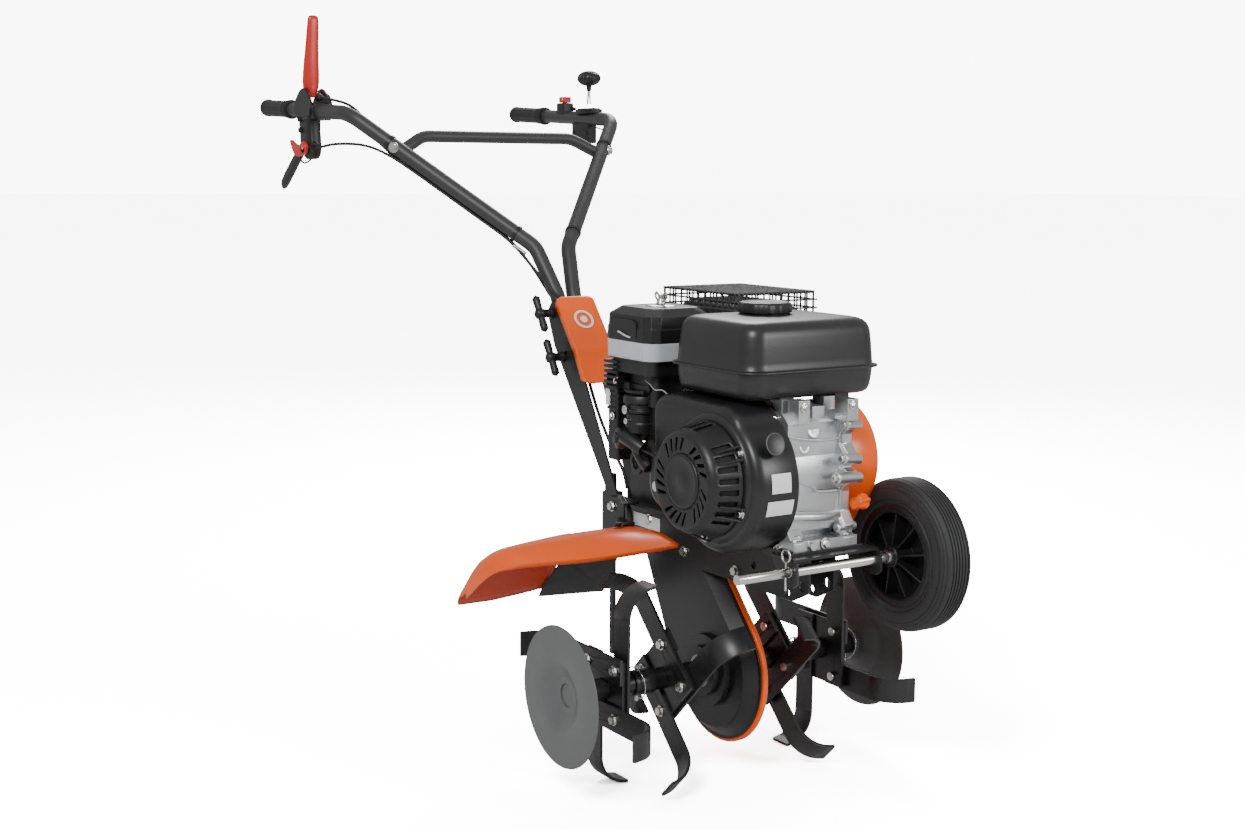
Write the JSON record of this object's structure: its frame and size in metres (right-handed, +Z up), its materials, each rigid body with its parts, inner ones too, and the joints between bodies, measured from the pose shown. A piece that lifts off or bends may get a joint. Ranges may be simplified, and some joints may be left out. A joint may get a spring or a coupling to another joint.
{
  "type": "tiller",
  "caption": "Petrol garden tiller with an engine over a chain case, bent tine blades, end discs, fenders, a transport wheel and raised handlebars.",
  "frame": {"origin": "on the ground under the centre of the overall length and width", "axes": "+X forward towards the wheel, +Y to the operator's left, +Z up"},
  "size_m": [1.5768, 0.6141, 1.2376],
  "materials": {
    "orange_paint": "gloss orange powder coat",
    "black_paint": "satin black powder coat",
    "tube_grey": "fine-textured dark grey powder coat",
    "zinc": "bright zinc plate",
    "bare_steel": "machined steel",
    "alloy": "as-cast aluminium",
    "black_plastic": "fine-grained black",
    "tank_black": "semi-gloss black",
    "grey_plastic": "light grey",
    "red_plastic": "gloss red",
    "disc_grey": "satin grey",
    "rubber": "black rubber",
    "tyre": "ribbed tread"
  },
  "bodies": {
    "frame": {"side_plates": "black_paint", "engine_plate": "black_paint", "wheel_bracket": "black_paint", "column_cover": "orange_paint", "stake_socket": "black_paint", "frame_bolts": "zinc", "chain_case_right": "black_paint", "chain_case_left": "orange_paint", "shaft_bearings": "bare_steel", "fenders": "orange_paint", "fender_struts": "black_paint", "fender_curtains": "black_paint", "crankcase": "alloy", "crankcase_cover": "alloy", "cylinder_head": "alloy", "fan_cover": "black_paint", "recoil_housing": "black_paint", "air_cleaner_base": "black_plastic", "carburettor": "black_plastic", "fuel_tank": "tank_black", "muffler": "bare_steel", "muffler_guard": "black_paint", "belt_cover": "orange_paint", "lower_cable": "rubber", "wheel_axle": "zinc", "drive_belt": "rubber", "drive_chain": "bare_steel", "air_cleaner_cover": "black_plastic"},
    "handlebar": {"handlebar_tubes": "tube_grey", "cross_brace": "tube_grey", "grips": "rubber", "control_bracket": "black_plastic", "handlebar_bolts": "zinc", "left_control_housings": "black_plastic", "control_cables": "rubber"},
    "upper_knob": {"t_knob_upper": "black_plastic"},
    "lower_knob": {"t_knob_lower": "black_plastic"},
    "tine_assembly": {"tine_shaft": "bare_steel", "tine_hubs": "black_paint", "inner_blades": "black_paint", "outer_blades": "black_paint", "blade_bolts": "zinc", "hitch_pins": "zinc", "soil_discs": "disc_grey"},
    "input_drive": {"input_shaft": "bare_steel"},
    "engine_shaft": {"crankshaft": "bare_steel"},
    "clutch_lever": {"clutch_lever": "red_plastic"},
    "reverse_lever": {"reverse_lever": "black_plastic"},
    "safety_latch": {"lever_latch": "red_plastic"},
    "stop_button": {"stop_button": "red_plastic"},
    "speed_control": {"speed_knob": "black_plastic"},
    "idler": {"idler_arm": "bare_steel"},
    "starter_grip": {"starter_handle": "black_plastic"},
    "fuel_cap": {"fuel_cap": "black_plastic"},
    "dipstick": {"dipstick": "orange_paint"},
    "wing_nut": {"wing_nut": "zinc"},
    "choke": {"choke_lever": "black_plastic"},
    "stake": {"depth_stake": "black_paint"},
    "wheel": {"wheel_rim": "black_plastic", "tyre": "tyre"}
  },
  "joints": [
    {"name": "tine_spin", "type": "hinge", "parent": "frame", "child": "tine_assembly", "pos_m": [0.384, 0, 0.1676], "axis": [0, 1, 0], "continuous": true},
    {"name": "input_spin", "type": "hinge", "parent": "frame", "child": "input_drive", "pos_m": [0.199, 0, 0.4366], "axis": [0, 1, 0], "continuous": true},
    {"name": "engine_spin", "type": "hinge", "parent": "frame", "child": "engine_shaft", "pos_m": [0.558, 0, 0.5246], "axis": [0, 1, 0], "continuous": true},
    {"name": "wheel_spin", "type": "hinge", "parent": "frame", "child": "wheel", "pos_m": [0.674, 0.129, 0.3946], "axis": [0, 1, 0], "continuous": true},
    {"name": "handlebar_tilt", "type": "hinge", "parent": "frame", "child": "handlebar", "pos_m": [-0.079, 0, 0.7016], "axis": [0, 1, 0], "range_deg": [-9.3, 0]},
    {"name": "upper_knob_turn", "type": "hinge", "parent": "handlebar", "child": "upper_knob", "pos_m": [-0.079, 0, 0.7016], "axis": [0, 1, 0], "range_deg": [0, 90]},
    {"name": "lower_knob_turn", "type": "hinge", "parent": "handlebar", "child": "lower_knob", "pos_m": [-0.041, 0, 0.6276], "axis": [0, 1, 0], "range_deg": [0, 90]},
    {"name": "clutch_lever_pull", "type": "hinge", "parent": "handlebar", "child": "clutch_lever", "pos_m": [-0.554, -0.285, 1.0936], "axis": [0, -1, 0], "range_deg": [0, 70], "stiffness_Nm_per_rad": 0.5, "springref_deg": -11.46},
    {"name": "reverse_lever_pull", "type": "hinge", "parent": "handlebar", "child": "reverse_lever", "pos_m": [-0.554, -0.285, 0.9916], "axis": [0, 1, 0], "range_deg": [0, 22], "stiffness_Nm_per_rad": 0.8, "springref_deg": -22.92},
    {"name": "safety_latch_turn", "type": "hinge", "parent": "handlebar", "child": "safety_latch", "pos_m": [-0.554, -0.303, 0.9916], "axis": [0, 1, 0], "range_deg": [0, 20], "stiffness_Nm_per_rad": 0.05, "springref_deg": -22.92},
    {"name": "stop_button_turn", "type": "hinge", "parent": "handlebar", "child": "stop_button", "pos_m": [-0.575, 0.285, 1.097], "axis": [0, 0, 1], "range_deg": [0, 45]},
    {"name": "speed_control_tilt", "type": "hinge", "parent": "handlebar", "child": "speed_control", "pos_m": [-0.48, 0.285, 1.0856], "axis": [0, 1, 0], "range_deg": [-20, 20]},
    {"name": "idler_swing", "type": "hinge", "parent": "frame", "child": "idler", "pos_m": [0.424, 0.06, 0.4336], "axis": [0, 1, 0], "range_deg": [0, 5.3]},
    {"name": "starter_pull", "type": "slide", "parent": "frame", "child": "starter_grip", "axis": [-1, 0, 0], "range_m": [0, 0.4], "stiffness_N_per_m": 15, "springref_m": -0.05},
    {"name": "fuel_cap_turn", "type": "hinge", "parent": "frame", "child": "fuel_cap", "pos_m": [0.512, -0.019, 0.7516], "axis": [0, 0, 1], "range_deg": [0, 90]},
    {"name": "dipstick_turn", "type": "hinge", "parent": "frame", "child": "dipstick", "pos_m": [0.656, 0.05175, 0.4781], "axis": [0.9136, 0.2512, 0.3198], "range_deg": [0, 180]},
    {"name": "wing_nut_turn", "type": "hinge", "parent": "frame", "child": "wing_nut", "pos_m": [0.334, -0.084, 0.7536], "axis": [0, 0, 1], "range_deg": [0, 360]},
    {"name": "choke_lever_turn", "type": "hinge", "parent": "frame", "child": "choke", "pos_m": [0.364, -0.126, 0.6216], "axis": [0, 1, 0], "range_deg": [0, 15]},
    {"name": "stake_height", "type": "slide", "parent": "frame", "child": "stake", "axis": [0, 0, 1], "range_m": [0, 0.12]}
  ],
  "couplings": [
    {"joint": "input_spin", "follows": "tine_spin", "ratio": 3},
    {"joint": "engine_spin", "follows": "tine_spin", "ratio": 6.75},
    {"joint": "idler_swing", "follows": "clutch_lever_pull", "ratio": 0.07571}
  ]
}
